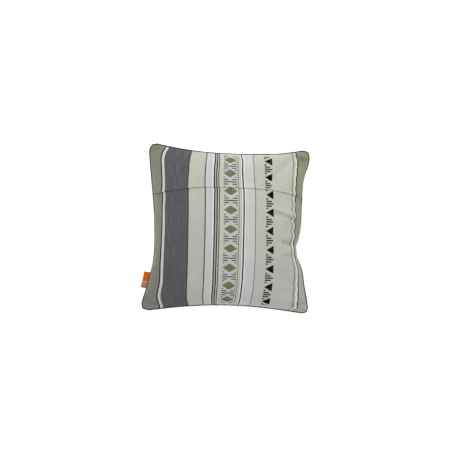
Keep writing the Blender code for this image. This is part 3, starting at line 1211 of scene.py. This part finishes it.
def faded(nodes, uv, colour, fade):
    """Colour washed out toward the south, and greyer but paler beside the east seam's lower half."""
    x, y, _ = nodes.parts(uv)
    south = nodes.between(y, fade.start, fade.full)
    lower = nodes.between(y, *PALE_PATCH_TOP)
    east = nodes.between(x, *PALE_PATCH_WEST)
    in_pale_patch = nodes.times(lower, east)
    lost = nodes.plus(nodes.times(south, fade.loss), nodes.times(in_pale_patch, PALE_PATCH_LOSS))
    greyer = nodes.math("SUBTRACT", 1.0, lost)
    paler = nodes.plus(1.0, nodes.times(in_pale_patch, PALE_PATCH_GAIN))
    node = nodes.add("ShaderNodeHueSaturation", {"Saturation": greyer, "Value": paler, "Color": colour})
    return node.outputs[0]


def striped_cloth():
    """The woven stripes and a painted fold shadow, from bands across the cloth whose alpha holds how
    flecked each stripe is.
    """
    nodes, uv, place = cloth_nodes("striped_cloth")
    edge = nodes.uneven(place, 0.004, 0.0016)
    slow = nodes.uneven(place, 0.200, 0.020)
    across = nodes.parts(uv)[0]
    wander = nodes.times(slow, 0.0006 / CLOTH)
    ragged = nodes.times(edge, 0.0002 / CLOTH)
    stops = [(max(stripe.start / CLOTH + 0.5, 0), stripe.colour, stripe.fleck) for stripe in STRIPES]
    stripe_colour, fleck = nodes.bands(nodes.plus(across, nodes.plus(wander, ragged)), stops)
    colour = faded(nodes, uv, cloth_colour(nodes, place, stripe_colour, fleck), CLOTH_FADE)
    nodes.bump(weave_height(nodes, place), WEAVE_DEPTH)
    roughness = nodes.plus(nodes.times(edge, 0.04), 0.90)
    return nodes.finish(colour, roughness, CLOTH_SHEEN, CLOTH_SPECULAR)


def plain_cloth(name, colour, fleck):
    """Cloth of one colour with the same weave."""
    nodes, _, place = cloth_nodes(name)
    colour = cloth_colour(nodes, place, nodes.flat(colour), fleck)
    nodes.bump(weave_height(nodes, place), WEAVE_DEPTH)
    roughness = nodes.plus(nodes.times(nodes.uneven(place, 0.010, 0.010), 0.04), 0.90)
    return nodes.finish(colour, roughness, CLOTH_SHEEN, CLOTH_SPECULAR)


def thread(name, colour, spread, gloss=0.30):
    """Soft embroidery thread: strands of slightly different shades with a silky gloss."""
    nodes, uv, place = cloth_nodes(name)
    strands = nodes.uneven(place, 0.006, 0.0009)
    patches = nodes.uneven(place, 0.012, 0.012)
    flat = nodes.flat(colour)
    factor = nodes.plus(nodes.times(strands, spread), nodes.times(patches, spread / 2))
    colour = nodes.tinted(faded(nodes, uv, flat, THREAD_FADE), nodes.plus(factor, 1.0))
    fibres = nodes.uneven(place, 0.0030, 0.00025)
    nodes.bump(fibres, 0.00006)
    roughness = nodes.plus(nodes.times(strands, 0.06), 0.62)
    return nodes.finish(colour, roughness, sheen=gloss / 8, specular=gloss)


def label_tape():
    """Ribbed orange tape with a paler woven border at its south end."""
    nodes = Nodes("label_tape")
    uv = nodes.add("ShaderNodeUVMap", uv_map="Tape").outputs[0]
    along = nodes.parts(uv)[1]
    ribs = nodes.math("SINE", nodes.times(along, 2 * math.pi * LABEL_RIBS))
    uneven = nodes.noise(nodes.scaled(uv, 30.0, 60.0))
    border, _ = nodes.bands(along, [(start, colour, 1) for start, colour in LABEL_BANDS])
    factor = nodes.plus(nodes.times(ribs, 0.06), nodes.times(uneven, 0.05))
    colour = nodes.tinted(border, nodes.plus(factor, 1.0))
    nodes.bump(ribs, 0.00010)
    roughness = nodes.plus(nodes.times(uneven, 0.05), 0.60)
    return nodes.finish(colour, roughness, sheen=0.02, specular=0.18)


# Studio: a large soft light north of the cushion, a fill from the south, and an even surround
FLOOR_GLOW = 0.66
SURROUND = 0.46
Light = namedtuple("Light", "name place size power")
LIGHTS = (
    Light("key", (-0.25, 1.00, 1.55), 1.5, 18.5),
    Light("fill", (-0.2, -2.2, 2.6), 3.0, 10),
)


def make_stage():
    """Plain pale floor."""
    size = 14
    corners = [(x * size, y * size, -0.0003) for x, y in ((-1, -1), (1, -1), (1, 1), (-1, 1))]
    mesh = new_mesh("floor", corners, [(0, 1, 2, 3)])
    floor = new_object("floor", mesh)
    nodes = Nodes("studio_floor")
    nodes.shader.inputs["Emission Color"].default_value = (1, 1, 1, 1)
    nodes.shader.inputs["Emission Strength"].default_value = FLOOR_GLOW
    mesh.materials.append(nodes.finish((0.85, 0.85, 0.85, 1), 0.9, sheen=0.0, specular=0.0))


def make_lights():
    target = np.array((0, 0, SEAM_MID))
    for light in LIGHTS:
        lamp = bpy.data.lights.new(light.name, "AREA")
        lamp.size = light.size
        lamp.energy = light.power
        holder = new_object(light.name, lamp)
        holder.location = light.place
        away = Vector(np.array(light.place) - target)
        holder.rotation_euler = away.to_track_quat("Z", "Y").to_euler()
    world = bpy.data.worlds.new("studio")
    bpy.context.scene.world = world
    world.use_nodes = True
    background = world.node_tree.nodes["Background"]
    background.inputs["Color"].default_value = (1, 1, 1, 1)
    background.inputs["Strength"].default_value = SURROUND


def make_camera():
    """Straight down over the picture's middle, so far up that one pixel is PIXEL wide at the seam."""
    camera = bpy.data.cameras.new("camera")
    camera.sensor_width = SENSOR * 1000
    camera.lens = SENSOR * 1000 * CAMERA_HEIGHT / (PICTURE_PIXELS * PIXEL)
    middle = PICTURE_PIXELS / 2
    holder = new_object("camera", camera)
    x = (middle - CUSHION_PIXEL[0]) * PIXEL + SHIFT[0]
    y = (CUSHION_PIXEL[1] - middle) * PIXEL + SHIFT[1]
    holder.location = (x, y, SEAM_MID + CAMERA_HEIGHT)
    bpy.context.scene.camera = holder


def main():
    striped = striped_cloth()
    under = plain_cloth("under_cloth", (110, 112, 102), 0.16)
    make_cover(striped, under)
    make_upper_panel(striped)
    # Painted shade: the rolled edge is the underside's cloth, darkened to about half its colour to stand
    # for the shade at the rim
    make_seam_edge(plain_cloth("painted_shade_edge_cloth", (56, 58, 50), 0.12))
    olive = thread("olive_thread", (118, 120, 84), 0.14)
    grey = thread("grey_thread", (38, 42, 32), 0.12)
    black = thread("black_thread", (3, 3, 3), 0.15, gloss=0.08)
    lay_threads("embroidered_diamonds", [run for y in DIAMOND_HEIGHTS for run in diamond_runs(y)], olive)
    marks = list(mark_runs(DIAMOND_HEIGHTS, DIAMOND_MARKS, DIAMOND_X, DIAMOND_MARK_THREADS))
    lay_threads("embroidered_marks", marks, grey)
    triangles = [run for y in TRIANGLE_HEIGHTS for run in triangle_runs(y)]
    triangles += list(mark_runs(TRIANGLE_HEIGHTS, TRIANGLE_MARKS, TRIANGLE_X, TRIANGLE_MARK_THREADS))
    lay_threads("embroidered_triangles", triangles, black)
    make_ground_stitches(thread("line_thread", (34, 36, 30), 0.08))
    make_hem_stitches(thread("hem_thread", (142, 143, 136), 0.06))
    make_label(label_tape())
    make_stage()
    make_lights()
    make_camera()
    bpy.context.scene.view_settings.view_transform = "Standard"


main()
